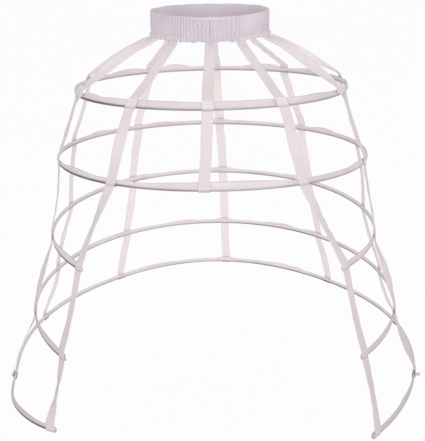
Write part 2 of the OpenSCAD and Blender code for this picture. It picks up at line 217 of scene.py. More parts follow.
def hoop_flat(i, t):
    """A point of hoop i from above: an oval, moved out and in by two bells at the lowest hoop's left end."""
    a = np.radians(t)
    p = np.stack([HALF_W[i] * np.sin(a), BACK[i] - HALF_D[i] * np.cos(a)], -1)
    n = unit(np.stack([np.sin(a) / HALF_W[i], -np.cos(a) / HALF_D[i]], -1))
    if i == LOWEST:
        far = BOW * bell(t, BOW_AT, BOW_SPREAD) - TIP * bell(t, TIP_AT, TIP_SPREAD)
        p = p + n * far[..., None]
    return p


def hoop_line(i, t):
    """A point of hoop i in space: dropped, tilted, leaning to the right and sagging at the back."""
    p, a = hoop_flat(i, t), np.radians(t)
    hang = LEAN[i] * np.maximum(0, np.sin(a)) + SAG[i] * (np.cos(a) < 0) * np.sin(2 * a) ** 2
    return np.concatenate([p, (p[..., 1] * TILT[i] - DROP[i] - hang)[..., None]], -1)


def hoop(i, t):
    """Place, outward direction and run of hoop i at the angles t."""
    t = np.asarray(t, float)
    d = hoop_line(i, t + 0.5) - hoop_line(i, t - 0.5)
    return hoop_line(i, t), unit(np.stack([d[..., 1], -d[..., 0], 0 * d[..., 0]], -1)), unit(d)


def hoop_spot(i, t):
    """Place, outward direction and run of hoop i at one angle."""
    return [q[0] for q in hoop(i, [t])]


def band_at(t, r, z):
    """A point of the band: r out from its inner oval at the angle t, at the height z, lower at the front."""
    a = np.radians(t)
    n = unit(np.stack([np.sin(a) / IN_W, -np.cos(a) / IN_D], -1))
    dip = -FRONT_DIP * (0.5 + 0.5 * np.cos(a)) ** 2
    x = IN_W * np.sin(a) + n[..., 0] * r
    y = -IN_D * np.cos(a) + n[..., 1] * r
    return np.stack([x, y, z + dip], -1)


# Meshes


def add_object(name, data):
    """An object at the origin, in the scene."""
    o = bpy.data.objects.new(name, data)
    scene.collection.objects.link(o)
    return o


def add_piece(name, mesh, look):
    """A mesh in its finish, as a piece on the part's one body."""
    mesh.materials.append(look)
    o = add_object(name, mesh)
    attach(o, "root")
    return o


def grid_piece(name, p, u, v, look, ring_u=False):
    """A mesh of quads over the grid p, which closes across v, and along u if ring_u.
    u is the length along and v the place across, both for the UV map."""
    nu, nv = p.shape[:2]
    i = np.arange(nu if ring_u else nu - 1)
    j = np.arange(nv)
    here, ahead = i[:, None] * nv, (i[:, None] + 1) % nu * nv
    corners = [here + j, here + (j + 1) % nv, ahead + (j + 1) % nv, ahead + j]
    quads = np.stack([corner.ravel() for corner in corners], 1)
    loops = [quads.ravel()]
    sizes = [np.full(len(quads), 4)]
    if not ring_u:
        loops += [j[::-1], j + (nu - 1) * nv]
        sizes += [np.array([nv]), np.array([nv])]
    loops, sizes = np.concatenate(loops), np.concatenate(sizes)
    m = bpy.data.meshes.new(name)
    m.vertices.add(nu * nv)
    m.vertices.foreach_set("co", (p.reshape(-1, 3) * MM).astype(np.float32).ravel())
    m.loops.add(len(loops))
    m.loops.foreach_set("vertex_index", loops.astype(np.int32))
    m.polygons.add(len(sizes))
    m.polygons.foreach_set("loop_start", np.concatenate([[0], np.cumsum(sizes)[:-1]]).astype(np.int32))
    m.polygons.foreach_set("use_smooth", np.ones(len(sizes), bool))
    step_u = np.append(u, u[-1] + (u[-1] - u[-2]))
    step_v = np.append(v, v[-1] + (v[-1] - v[-2]))
    ii, jj = np.repeat(i, nv), np.tile(j, len(i))
    quad_u = step_u[np.stack([ii, ii, ii + 1, ii + 1], 1)]
    quad_v = step_v[np.stack([jj, jj + 1, jj + 1, jj], 1)]
    uv = np.stack([quad_u, quad_v], -1).reshape(-1, 2)
    ends = loops[len(uv):]
    if len(ends):
        uv = np.concatenate([uv, np.stack([u[ends // nv], v[ends % nv]], -1)])
    layer = m.uv_layers.new(name="UVMap")
    layer.data.foreach_set("uv", uv.astype(np.float32).ravel())
    m.update()
    m.validate()
    return add_piece(name, m, look)


def mark(o, name, values):
    """A value per point of the mesh, for the finish to read."""
    layer = o.data.attributes.new(name, "FLOAT", "POINT")
    layer.data.foreach_set("value", values.astype(np.float32).ravel())


# Finishes


class Val:
    """A shader value. Arithmetic on it adds Math nodes."""

    def __init__(self, finish, socket):
        self.finish, self.socket = finish, socket

    def _op(self, operation, *args):
        """One Math node over the given values."""
        return self.finish.node("ShaderNodeMath", {"operation": operation}, dict(enumerate(args)))

    def __add__(self, o):
        return self._op("ADD", self, o)

    __radd__ = __add__

    def __mul__(self, o):
        return self._op("MULTIPLY", self, o)

    __rmul__ = __mul__

    def __sub__(self, o):
        return self._op("SUBTRACT", self, o)

    def __rsub__(self, o):
        return self._op("SUBTRACT", o, self)

    def __truediv__(self, o):
        return self._op("DIVIDE", self, o)

    def sin(self):
        """Its sine, in radians."""
        return self._op("SINE", self)

    def abs(self):
        """Its size without the sign."""
        return self._op("ABSOLUTE", self)

    def least(self, o):
        """The lower of two values."""
        return self._op("MINIMUM", self, o)

    def most(self, o):
        """The higher of two values."""
        return self._op("MAXIMUM", self, o)

    def step(self, lo, hi):
        """A soft step from 0 at lo to 1 at hi."""
        sockets = {0: self, 1: lo, 2: hi, 3: 0.0, 4: 1.0}
        return self.finish.node("ShaderNodeMapRange", {"interpolation_type": "SMOOTHSTEP"}, sockets)

    def wave(self):
        """A sine between 0 and 1."""
        return self.sin() * 0.5 + 0.5


class Finish:
    """A material or the world, built node by node."""

    def __init__(self, owner):
        self.owner = owner
        owner.use_nodes = True
        self.tree = owner.node_tree
        self.tree.nodes.clear()

    def node(self, kind, settings=None, inputs=None, out=0):
        """A node of the given type: first its settings, then the values or links of its sockets."""
        n = self.tree.nodes.new(kind)
        for key, value in (settings or {}).items():
            setattr(n, key, value)
        for key, value in (inputs or {}).items():
            if isinstance(value, Val):
                self.tree.links.new(value.socket, n.inputs[key])
            else:
                n.inputs[key].default_value = value
        return Val(self, n.outputs[out]) if n.outputs else None

    def place(self):
        """The object coordinates, in metres."""
        return self.node("ShaderNodeTexCoord", out=3)

    def along(self, axis):
        """One of the object coordinates: 0 is to the right, 2 is up."""
        return self.node("ShaderNodeSeparateXYZ", None, {0: self.place()}, axis)

    def uv(self):
        """The length along a piece and the place across it, in millimetres."""
        p = self.node("ShaderNodeUVMap", {"uv_map": "UVMap"})
        x = self.node("ShaderNodeSeparateXYZ", None, {0: p})
        return x, Val(self, x.socket.node.outputs[1])

    def marked(self, name):
        """A value that the mesh carries at its points."""
        return self.node("ShaderNodeAttribute", {"attribute_name": name}, None, 2)

    def noise(self, scale, detail):
        """Soft noise between 0 and 1, on the object coordinates."""
        sockets = {"Vector": self.place(), "Scale": scale, "Detail": detail}
        return self.node("ShaderNodeTexNoise", None, sockets)

    def direct(self):
        """1 for rays from the camera, from gloss or through glass, and 0 for light that falls on a piece."""
        rays = self.node("ShaderNodeLightPath").socket.node.outputs
        kinds = ("Camera", "Glossy", "Transmission")
        camera, gloss, glass = (Val(self, rays[f"Is {kind} Ray"]) for kind in kinds)
        return camera.most(gloss).most(glass)

    def mix(self, factor, a, b):
        """The colour a where the factor is 0, and b where it is 1."""
        return self.node("ShaderNodeMix", {"data_type": "RGBA"}, {0: factor, 6: a, 7: b}, out=2)

    def cloudy(self, cloud, tones):
        """Two close tones, mixed in soft clouds."""
        return self.mix(cloud.step(0.3, 0.7), *tones)

    def bump(self, height, strength, distance):
        """A normal that follows a height."""
        sockets = {"Strength": strength, "Distance": distance, "Height": height}
        return self.node("ShaderNodeBump", None, sockets)

    def done(self, **inputs):
        """The finished material: the inputs are the shader's sockets, with _ for each space."""
        names = {k.replace("_", " "): v for k, v in inputs.items()}
        shader = self.node("ShaderNodeBsdfPrincipled", None, names)
        self.node("ShaderNodeOutputMaterial", None, {"Surface": shader})
        return self.owner


def new_finish(name):
    """An empty material."""
    return Finish(bpy.data.materials.new(name))


def rgba(r, g, b):
    """A full colour."""
    return (r, g, b, 1.0)


def tape_finish():
    """Soft twill tape: diagonal ribs across the width, firmer edges, faint creases. It has painted light near
    the band and is deeper low down. Its inner face is painted paler and warmer, as painted light, and painted
    shade lies along the steel of each hoop behind it."""
    outer = rgba(0.706, 0.628, 0.640), rgba(0.760, 0.682, 0.694)
    # Painted light: the inner face's tones are paler and warmer than the outer ones
    inner = rgba(0.89, 0.805, 0.795), rgba(0.94, 0.855, 0.845)
    # Painted light: the pale tone for the upper lengths near the band
    painted_light_near_band, low_down = rgba(0.93, 0.85, 0.87), rgba(0.50, 0.42, 0.42)
    edge_tone, rib_shade = rgba(0.700, 0.610, 0.645), rgba(0.62, 0.54, 0.58)
    # Painted shade: the tone of the shade along the steel of a hoop behind the tape
    hoop_shade = rgba(0.33, 0.28, 0.36)
    f = new_finish("twill_tape")
    u, v = f.uv()
    z = f.along(2)
    rib = ((u + v * 1.4) * 5.2).wave()
    pick = (v * 9.5).wave()
    edge = (v.abs() / (TAPE_W / 2)).step(0.80, 0.97)
    crease = f.noise(38.0, 4.0)
    cloud = f.noise(9.0, 2.0)
    base = f.cloudy(cloud, outer)
    # Painted light on the upper lengths near the band
    base = f.mix(z.step(-0.16, -0.06) * 0.64, base, painted_light_near_band)
    base = f.mix((1 - z.step(-0.66, -0.36)) * 0.27, base, low_down)
    # Painted light that makes the inner face paler and warmer
    base = f.mix(f.marked("inner"), base, f.cloudy(cloud, inner))
    base = f.mix(edge * 0.35, base, edge_tone)
    # Painted shade along the steel of each hoop behind the tape
    base = f.mix(f.marked("steel_shade_depth") * 0.52, base, hoop_shade)
    base = f.mix(rib * 0.10, base, rib_shade)
    height = rib * 0.5 + pick * 0.25 + crease * 1.6 + edge * 0.6
    return f.done(
        Base_Color=base,
        Roughness=0.86 - cloud * 0.08,
        Normal=f.bump(height, 0.35, 0.0006),
        Sheen_Weight=0.12,
        Specular_IOR_Level=0.25,
    )


def casing_finish():
    """Thin plain-weave cotton, darker over the steel, with a stitch line over it: there the steel's grey
    shows through and painted shade lies on the rounded underside, deeper on the left of the outside, on the
    right of the inside and low down. It is warmer on the left, deeper low down, paler on its inner face, and
    has a line of painted shade along its loose edge."""
    outer = rgba(0.675, 0.597, 0.636), rgba(0.755, 0.676, 0.712)
    inner_tones = rgba(0.760, 0.675, 0.690), rgba(0.840, 0.755, 0.765)
    # The third colour is painted shade on the rounded underside round the steel
    warm, low_down, painted_underside_shade = rgba(0.80, 0.685, 0.665), rgba(0.40, 0.33, 0.33), rgba(0.44, 0.375, 0.47)
    # Painted shade over the steel: its tone, and a darker one on the left
    steel_shade, left_shade = rgba(0.150, 0.120, 0.165), rgba(0.085, 0.065, 0.075)
    # The second colour is painted shade along the loose edge of the cloth
    thread, painted_edge_shade = rgba(0.60, 0.52, 0.56), rgba(0.42, 0.39, 0.41)
    f = new_finish("casing_cotton")
    u, v = f.uv()
    x, z = f.along(0), f.along(2)
    inner = f.marked("inner")
    outward = 1 - inner
    weave = (u * 7.5).sin() * (v * 7.5).sin() * 0.5 + 0.5
    under = 1 - v.step(-1.0, 4.4)
    stitch = (1 - ((v - 5.2).abs() / 0.7).step(0.3, 1.0)) * (u * 2.1).sin().step(-0.35, 0.1)
    edge = v.step(8.8, 10.2)
    cloud = f.noise(14.0, 3.0)
    # left and right mark the outside on the left and the inside on the right, where the painted shade over
    # the steel is deeper
    left = (1 - x.step(-0.30, 0.05)) * outward
    right = x.step(-0.05, 0.22) * inner
    # Where the steel lies: its grey through the cloth and painted shade on its underside, broader on the left
    # and fading at the open ends
    steel = (1 - (v - left * 2.0).step(-3.2, 0.9)) * (1 - f.marked("end") * 0.75)
    # How deep the painted shade over the steel is: deeper on the left outside, on the lower outside and on
    # the lower right inside
    steel_shade_depth = 0.44 + f.noise(11.0, 2.0).step(0.35, 0.65) * 0.20 + left * 0.40
    steel_shade_depth = steel_shade_depth + (1 - z.step(-0.75, -0.35)) * outward * 0.16
    steel_shade_depth = steel_shade_depth - inner * 0.08 + right * (0.62 - z.step(-0.72, -0.20) * 0.56)
    base = f.cloudy(cloud, outer)
    base = f.mix(left * 0.35, base, warm)
    base = f.mix((1 - z.step(-0.72, -0.42)) * 0.40, base, low_down)
    base = f.mix(inner, base, f.cloudy(cloud, inner_tones))
    # Painted shade on the rounded underside, less on the left
    base = f.mix(under * (0.30 - left * 0.20), base, painted_underside_shade)
    # The steel's grey and its painted shade, darker on the left
    base = f.mix(steel * steel_shade_depth, base, f.mix(left, steel_shade, left_shade))
    base = f.mix(stitch * 0.40, base, thread)
    # Painted shade along the loose edge
    base = f.mix(edge * 0.42, base, painted_edge_shade)
    height = weave * 0.35 + f.noise(60.0, 4.0) * 1.5 - stitch * 1.2
    return f.done(
        Base_Color=base,
        Roughness=0.88 - steel * 0.12,
        Normal=f.bump(height, 0.35, 0.0005),
        Sheen_Weight=0.10,
        Specular_IOR_Level=0.25,
    )


def band_finish():
    """Gathered cotton: plain weave, shade in the folds, two rows of shirring stitches, an upright seam and a
    strip turned over at the front, and a frill that is warmer at the sides."""
    cotton = rgba(0.635, 0.560, 0.620), rgba(0.710, 0.635, 0.695)
    warm, fold_shade, strip_tone = rgba(0.80, 0.69, 0.69), rgba(0.37, 0.315, 0.37), rgba(0.74, 0.60, 0.64)
    seam_shade, thread = rgba(0.30, 0.26, 0.30), rgba(0.50, 0.44, 0.50)
    f = new_finish("band_cotton")
    u, v = f.uv()
    weave = (u * 6.5).sin() * (v * 6.5).sin() * 0.5 + 0.5
    row = 1 - ((v - SEAM_ROW).abs().least((v - TOP_ROW).abs()) / 0.8).step(0.4, 1.0)
    stitch = row * (u * 1.9).sin().step(-0.3, 0.1)
    cloud = f.noise(16.0, 3.0)
    fold = f.marked("fold")
    strip = (1 - ((u + 5.0).abs() / 38.0).step(0.45, 1.0)) * v.step(STRIP_LOW - 0.4, STRIP_LOW + 0.4)
    strip = strip * (1 - v.step(BAND_TOP + 0.5, BAND_TOP + 1.0))
    crease = 1 - ((u + 9.0).abs() / 34.0).step(0.9, 1.0)
    crease = crease * (1 - ((v - (STRIP_LOW - 0.2)).abs() / 0.8).step(0.3, 1.0))
    join = (1 - (u + 0.4).abs().step(0.35, 0.9)) * (1 - v.step(STRIP_LOW - 1.0, STRIP_LOW))
    join = join * v.step(BAND_SEAM + 1.0, BAND_SEAM + 3.0)
    frill = (1 - v.step(BAND_SEAM - 1.0, BAND_SEAM + 4.0)) * u.abs().step(32.0, 60.0)
    base = f.cloudy(cloud, cotton)
    base = f.mix(frill * 0.55, base, warm)
    base = f.mix(fold * (0.75 + frill * 0.2), base, fold_shade)
    base = f.mix(strip * 0.4, base, strip_tone)
    base = f.mix((crease * 0.35).most(join * 0.6), base, seam_shade)
    base = f.mix(stitch * 0.3, base, thread)
    height = weave * 0.3 + f.noise(55.0, 4.0) * 1.6 - row * 0.9
    return f.done(
        Base_Color=base,
        Roughness=0.88 - cloud * 0.06,
        Normal=f.bump(height, 0.4, 0.0006),
        Sheen_Weight=0.12,
        Specular_IOR_Level=0.25,
    )


def thread_finish():
    """Twisted sewing thread."""
    f = new_finish("sewing_thread")
    u, v = f.uv()
    twist = (u * 6.0 + v * 2.0).wave()
    base = f.mix(twist, rgba(0.70, 0.62, 0.66), rgba(0.84, 0.77, 0.80))
    return f.done(Base_Color=base, Roughness=0.6 + twist * 0.15, Normal=f.bump(twist, 0.4, 0.0002))


def steel_finish(name, tint):
    """Dull flat steel: fine grain, and spots of a deeper tone."""
    f = new_finish(name)
    grain = f.noise(220.0, 5.0)
    spots = f.noise(30.0, 3.0)
    base = f.mix(spots.step(0.35, 0.7), rgba(*tint), rgba(*(0.75 * c for c in tint)))
    return f.done(
        Base_Color=base,
        Metallic=1.0,
        Roughness=0.35 + grain * 0.2,
        Normal=f.bump(grain, 0.1, 0.0002),
    )


def elastic_finish():
    """Braided white elastic: cords one above another."""
    f = new_finish("braided_elastic")
    sockets = {"Vector": f.place(), "Scale": 420.0, "Distortion": 0.4}
    cords = f.node("ShaderNodeTexWave", {"bands_direction": "Z"}, sockets)
    base = f.mix(cords, rgba(0.70, 0.68, 0.68), rgba(0.84, 0.83, 0.83))
    return f.done(Base_Color=base, Roughness=0.7 + cords * 0.1, Normal=f.bump(cords, 0.5, 0.0005))


TAPE_LOOK = tape_finish()
CASING_LOOK = casing_finish()
BAND_LOOK = band_finish()
THREAD_LOOK = thread_finish()


# Waistband


def make_waistband():
    """The band's outline, from the frill's edge up the outside, over the top fold and down the inside,
    carried round the oval. The gathers push the outside out: a cosine's ridges, whose pitch wanders."""
    t = np.linspace(180, 540, BAND_STEPS, endpoint=False)
    a = np.radians(t)
    off = t - 360
    tight = 1 + 0.24 * ring_drift(a, 9, 3) + 0.26 * np.cos(a - math.radians(290))
    phase = np.cumsum(tight / tight.sum()) * 2 * np.pi * GATHERS
    calm = 1 - 0.55 * np.clip(0.15 + 1.6 * np.sin(a), 0, 1)
    lively = np.clip((0.80 + 0.24 * ring_drift(a, 6, 5)) * calm, 0.22, 1.0)
    strip = 1 - smooth(*STRIP_ENDS, np.abs(off - STRIP_AT))
    join = (off - JOIN_AT) * PER_DEGREE
    ruffle = 1.2 * ring_drift(a, 15, 21) + 0.9 * np.cos(phase * 0.5 + 1)
    flared = FRILL_FLARE * (0.75 + 0.3 * ring_drift(a, 12, 31)) + 1.4 * np.cos(phase * 0.5 + 1)
    pocket = BAND_CLOTH + BAND_GAP
    rows, folds = [], []

    def gather(z):
        """How far the outside stands off at the height z: sharp ridges between soft valleys."""
        bend = ring_drift(a, 5, 9) * (1 + z * 0.02) + 0.7 * ring_drift(a, 11, 13) * math.sin(z * 0.15)
        bend = bend + 0.5 * ring_drift(a, 16, 14) * math.cos(z * 0.27)
        ridge = np.abs(np.cos(phase / 2 + GATHER_BEND * bend)) ** 0.75
        stay = ring_drift(a, 19, 15) * math.cos(z * 0.10) + ring_drift(a, 23, 16) * math.sin(z * 0.16) + 0.3
        stay = 0.5 + 0.5 * np.clip(stay, -1, 1)
        fine = 0.5 + 0.5 * np.cos(phase * 2.19 + 3 * GATHER_BEND * bend)
        return lively * ((0.50 + 0.42 * stay) * ridge + 0.5 * (0.42 * (1 - stay)) + 0.08 * fine)

    def row(r, z, v, fold=None):
        """One line round the band: how far out, how high, its place across the cloth, and its shade, which is
        a share of a row of the outside where none is given."""
        rows.append((r + 0 * t, z + 0 * t, v))
        folds.append(0.3 * folds[10] if fold is None else fold)

    frill_rows = np.linspace(-FRILL_L, -1.2, 9) + BAND_SEAM
    for z in np.concatenate([frill_rows, np.linspace(BAND_SEAM, BAND_TOP - 2.2, 17)]):
        below = np.clip((BAND_SEAM - z) / FRILL_L, 0, 1)
        pinch = bell(z, SEAM_ROW, 2.4) * 0.45 + bell(z, TOP_ROW, 1.8) * 0.2
        flat = 1 - 0.85 * strip * smooth(STRIP_LOW - 0.5, STRIP_LOW + 0.5, z)
        g = gather(z) * flat
        fold = np.clip(1 - g / np.maximum(lively, 0.3), 0, 1) ** 1.5 * lively * flat
        g = GATHER * g * (1 - pinch)
        groove = np.minimum(bell(join, 0, 0.8) * (1 - below), g)
        r = pocket + BAND_CLOTH + g - groove + flared * below**1.3 + 0.8 * (1 - flat)
        row(r, z + ruffle * below**2, z, fold)
    g = GATHER * gather(BAND_TOP) * (1 - 0.85 * strip) + 0.7 * strip
    lift = 0.35 * g + 0.5 * ring_drift(a, 10, 51)
    top_fold = 0.5 * folds[-1]
    for share, up in ((0.93, -1.0), (0.78, -0.25), (0.55, 0.0), (0.3, -0.3), (0.12, -1.0)):
        z = BAND_TOP + up + lift * smooth(0.1, 0.6, share)
        row((pocket + BAND_CLOTH + g) * share, z, BAND_TOP + up, top_fold)
    for z in np.linspace(BAND_TOP - 2.2, BAND_SEAM - 3, 8):
        row(0.6 * np.abs(np.cos(phase / 2)) * lively, z, 2 * BAND_TOP - z)
    for z in (BAND_SEAM - 3, BAND_TOP - 3):
        row(BAND_CLOTH, z, z)
    for z in (BAND_TOP - 3, BAND_SEAM + 2):
        row(pocket + 0.3 * g, z, z)
    r, z, v = rows[0]
    row(r - BAND_CLOTH, z + 0.2, v)
    r, z, v = zip(*rows)
    p = band_at(t[:, None], np.stack(r, 1), np.stack(z, 1))
    o = grid_piece("waistband_cloth", p[:, ::-1], off * PER_DEGREE, np.array(v)[::-1], BAND_LOOK, ring_u=True)
    mark(o, "fold", np.stack(folds, 1)[:, ::-1])
    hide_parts("waistband")


# Hoop casings


def casing_run(i):
    """Angles along hoop i at even lengths from one end of its casing to the other, and those lengths."""
    lo, hi = marks(i)[[0, -1]]
    if i < CLOSED:
        lo, hi = lo + 0.07, hi - 0.07
    else:
        chords = [hoop_flat(i, np.array([e + 0.5])) - hoop_flat(i, np.array([e - 0.5])) for e in (lo, hi)]
        past = [CASING_END / np.linalg.norm(chord) for chord in chords]
        lo, hi = lo - past[0], hi + past[1]
    t = np.linspace(lo, hi, 4000)
    s = run_length(hoop_flat(i, t))
    at = np.linspace(0, s[-1], int(s[-1] / CASING_STEP))
    return np.interp(at, s, t), at


def casing_lean(i, t):
    """How far casing i leans at the angles t, an arch of its own between each two tapes, and how firmly the
    tapes hold it."""
    g = np.random.default_rng(100 + i)
    lean, held = np.zeros_like(t), np.zeros_like(t)
    for a, b in zip(marks(i)[:-1], marks(i)[1:]):
        x = np.clip((t - a) / (b - a), 0, 1)
        lean += ((t >= a) & (t <= b)) * (g.random() * 1.4 - 0.25) * np.sin(np.pi * x) ** 2
        held = np.maximum(held, bell(np.minimum(np.abs(t - a), np.abs(t - b)), 0, 2.6))
    return -2.6 * lean * (1 - held) - 0.4, held


def casing_top(i, t, s):
    """How high the loose edge of casing i stands: an even edge, taller round the front, and cosine petals."""
    top = 5.5 + 0.3 * drift(s * 0.05, 60 + i)
    front = np.abs((t + 180) % 360 - 180)
    if i == 0:
        top += (5.4 + 0.6 * drift(s * 0.035, 90)) * (1 - smooth(36, 74, front))
    elif i == 1:
        top += 1.6 * (1 - smooth(50, 84, front))
    else:
        top += (3.2 - 1.8 * (t > 180) + 1.2 * drift(s * 0.03, 93 + i)) * (1 - smooth(60, 84, front))
    for start, peak, end, tall in PETALS[i]:
        for q in (t, t - 360):
            x = np.where(q < peak, (peak - q) / (peak - start), (q - peak) / (end - peak))
            petal = np.cos(np.clip(x, 0, 1) * np.pi / 2) ** 0.9
            top = np.maximum(top, PETAL_FOOT + (tall - PETAL_FOOT) * petal)
    return top


def casing_half(h):
    """Half the thickness of a casing at the height h: an oval round the steel, then two layers of cloth."""
    oval = np.sqrt(np.clip(1 - ((h + 0.2) / 4.5) ** 2, 0, 1)) * CASING_W
    return np.maximum(oval, 0.62)


def make_casing(i):
    """A strip folded round the steel, carried along the hoop. Its two layers stand up in loose petals
    above the steel, lean, and pucker at the stitch line."""
    t, s = casing_run(i)
    place, out, _ = hoop(i, t)
    lean, held = casing_lean(i, t)
    top = casing_top(i, t, s)
    to_end = np.minimum(s, s[-1] - s)
    pucker = np.sin(s * 2 * np.pi / 10.5 + 2.2 * drift(s * 0.012, 70 + i))
    pucker = pucker * (0.5 + 0.5 * drift(s * 0.02, 80 + i))
    rows = [h + 0 * t for h in FOLD_ROWS] + [STITCH_LINE + (top - STITCH_LINE) * k for k in LOOSE_ROWS]
    far, near, layer = [], [], []
    for h in rows:
        up = np.clip((h - 4.4) / (CASING_TOP - 4.4), 0, 1.3)
        bend = lean * up**1.4 + 0.42 * pucker * bell(h, 6.5, 4.0) * (h > 3) * (1 - 0.8 * held)
        half = casing_half(h) * np.where(h < -4.6, 0.0, 1.0) * np.where(h >= top - 0.3, 0.6, 1.0)
        far.append(bend + half)
        near.append(bend - half)
        layer.append(np.minimum(0.5, 0.8 * half))
    # The rows that the inner faces of the two layers follow
    inside = [3, 5, 7, 9, 11, 13]
    r = far[::-1] + near[1:]
    r += [near[k] + layer[k] for k in inside[::-1]] + [0 * t] + [far[k] - layer[k] for k in inside]
    h = rows[::-1] + rows[1:]
    h += [rows[k] for k in inside[::-1]] + [FOLD_INSIDE + 0 * t] + [rows[k] for k in inside]
    r, h = np.stack(r, 1), np.stack(h, 1)
    end = 0 * s
    if i >= CLOSED:
        shut = smooth(0, 3.2, to_end)[:, None]
        r, h = r * (0.15 + 0.85 * shut), h * (0.6 + 0.4 * shut)
        end = 1 - smooth(2.5, 6.0, to_end)
    p = place[:, None] + out[:, None] * r[..., None]
    p[..., 2] += h
    v = np.concatenate([FOLD_ROWS, STITCH_LINE + LOOSE_LENGTH * LOOSE_ROWS])
    v = np.concatenate([v[::-1], v[1:], v[inside[::-1]], [FOLD_INSIDE], v[inside]])
    inner = np.concatenate([np.zeros(len(far)), np.ones(len(v) - len(far))])
    o = grid_piece(f"hoop_{i + 1}_casing_cloth", p[:, ::-1], s, v[::-1], CASING_LOOK)
    mark(o, "inner", np.ones(len(s))[:, None] * inner[::-1])
    mark(o, "end", end[:, None] * np.ones(len(v)))
    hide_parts(f"hoop_{i + 1}_casing")


# Tapes


def soft_line(points, widths):
    """Even steps along the stops, with the corners rounded by a running average, less so at the end hem."""
    s = run_length(points)
    at = np.linspace(0, s[-1], int(s[-1] / (TAPE_STEP / FINE_STEPS)))
    both = np.concatenate([points, widths], 1)
    q = np.stack([np.interp(at, s, column) for column in both.T], 1)
    reach = np.arange(-BLUR_REACH, BLUR_REACH + 1) * (at[1] - at[0])
    before = 2 * q[:1] - q[BLUR_REACH:0:-1]
    after = 2 * q[-1:] - q[-2 : -BLUR_REACH - 2 : -1]
    longer = np.concatenate([before, q, after])

    def rounded(blur):
        """The line averaged under a bell of the given spread."""
        k = np.exp(-((reach / blur) ** 2) / 2)
        return np.stack([np.convolve(column, k / k.sum(), "valid") for column in longer.T], 1)

    tail = smooth(16, 44, s[-1] - at)[:, None]
    q = rounded(1.6) * (1 - tail) + rounded(4.5) * tail
    return q[::FINE_STEPS, :3], unit(q[::FINE_STEPS, 3:]), at[::FINE_STEPS]


def tape_stops(tape):
    """The stops of a tape: inside the band, under the frill, over each hoop, and round the lowest one.
    Each has a place, the direction of the tape's width and a turn in degrees."""
    at_band, angles = np.array([tape.places[0]]), tape.places[1:]
    last = len(angles) - 1
    points, widths, turns = [], [], []

    def stop(p, w, turn=0.0):
        """One more stop."""
        points.append(p)
        widths.append(w)
        turns.append(turn)

    def on_hoop(i, r, z, less=0.0):
        """A place r out from hoop i and z above it, the hoop's run and its outward direction."""
        p, n, w = hoop_spot(i, angles[i] - less)
        return p + n * r + UP * z, w, n

    def over_hoop(i):
        """How far out, how high and how far along each stop over hoop i lies. A long slide has one more."""
        slide = tape.slide(i)
        r = TAPE_R + abs(slide) * 0.1
        over = [(r, TAPE_ABOVE, slide), (r, CASING_TOP / 2, slide / 2), (r, -TAPE_BELOW, 0)]
        return [(r + 1, TAPE_ABOVE + 5, slide * 1.25)] + over if abs(slide) > 4 else over

    def between(a, b, wa, wb, push, turn, shares, turn_at):
        """Stops at shares of the way from a to b, pushed aside in an arch and turned as turn_at says."""
        for u in shares:
            stop(a + (b - a) * u + push * math.sin(math.pi * u), unit(wa + (wb - wa) * u), turn * turn_at(u))

    w_band = unit(band_at(at_band + 0.5, 0, 0)[0] - band_at(at_band - 0.5, 0, 0)[0])
    for z in (BAND_SEAM + TAPE_ENTRY, TAPE_LOW + 3, TAPE_LOW):
        leaves = band_at(at_band, TAPE_SEAT, z)[0]
        stop(leaves, w_band)
    out = band_at(at_band, 1, 0)[0] - band_at(at_band, 0, 0)[0]
    push = UP * 4.0 if tape.top_turn else out * -2.0
    p, w, _ = on_hoop(0, *over_hoop(0)[0])
    top_shares, shares = (0.1, 0.25, 0.4, 0.6, 0.8), (0.2, 0.4, 0.6, 0.8)
    between(leaves, p, w_band, w, push, tape.top_turn, top_shares, lambda u: math.sin(math.pi * u**0.75))
    for i in range(last + 1):
        for spot in over_hoop(i):
            stop(*on_hoop(i, *spot)[:2])
        if i < last:
            p, w, n = on_hoop(i, TAPE_R, -TAPE_BELOW - 4, -0.2 * tape.slide(i))
            stop(p, w)
            q, wq, _ = on_hoop(i + 1, *over_hoop(i + 1)[0])
            push = n * 4 * math.sin(math.radians(tape.sway + i * 97))
            turn = tape.turns[i] or 7 * math.sin(math.radians(tape.sway * 3 + i * 131))
            between(p, q, w, wq, push, turn, shares, lambda u: math.sin(math.pi * u) ** 2)
    hem = HEM_FRONT if math.cos(math.radians(tape.places[0])) > -0.3 else HEM_BACK
    under = [(TAPE_R - 0.8, -WRAP_LOW), (-WRAP_IN + 2.2, -WRAP_LOW)]
    for r, z in under + [(-WRAP_IN, -TAPE_BELOW + 0.6), (-WRAP_IN + 0.2, hem)]:
        stop(*on_hoop(last, r, z)[:2])
    return np.array(points), np.array(widths), np.array(turns)


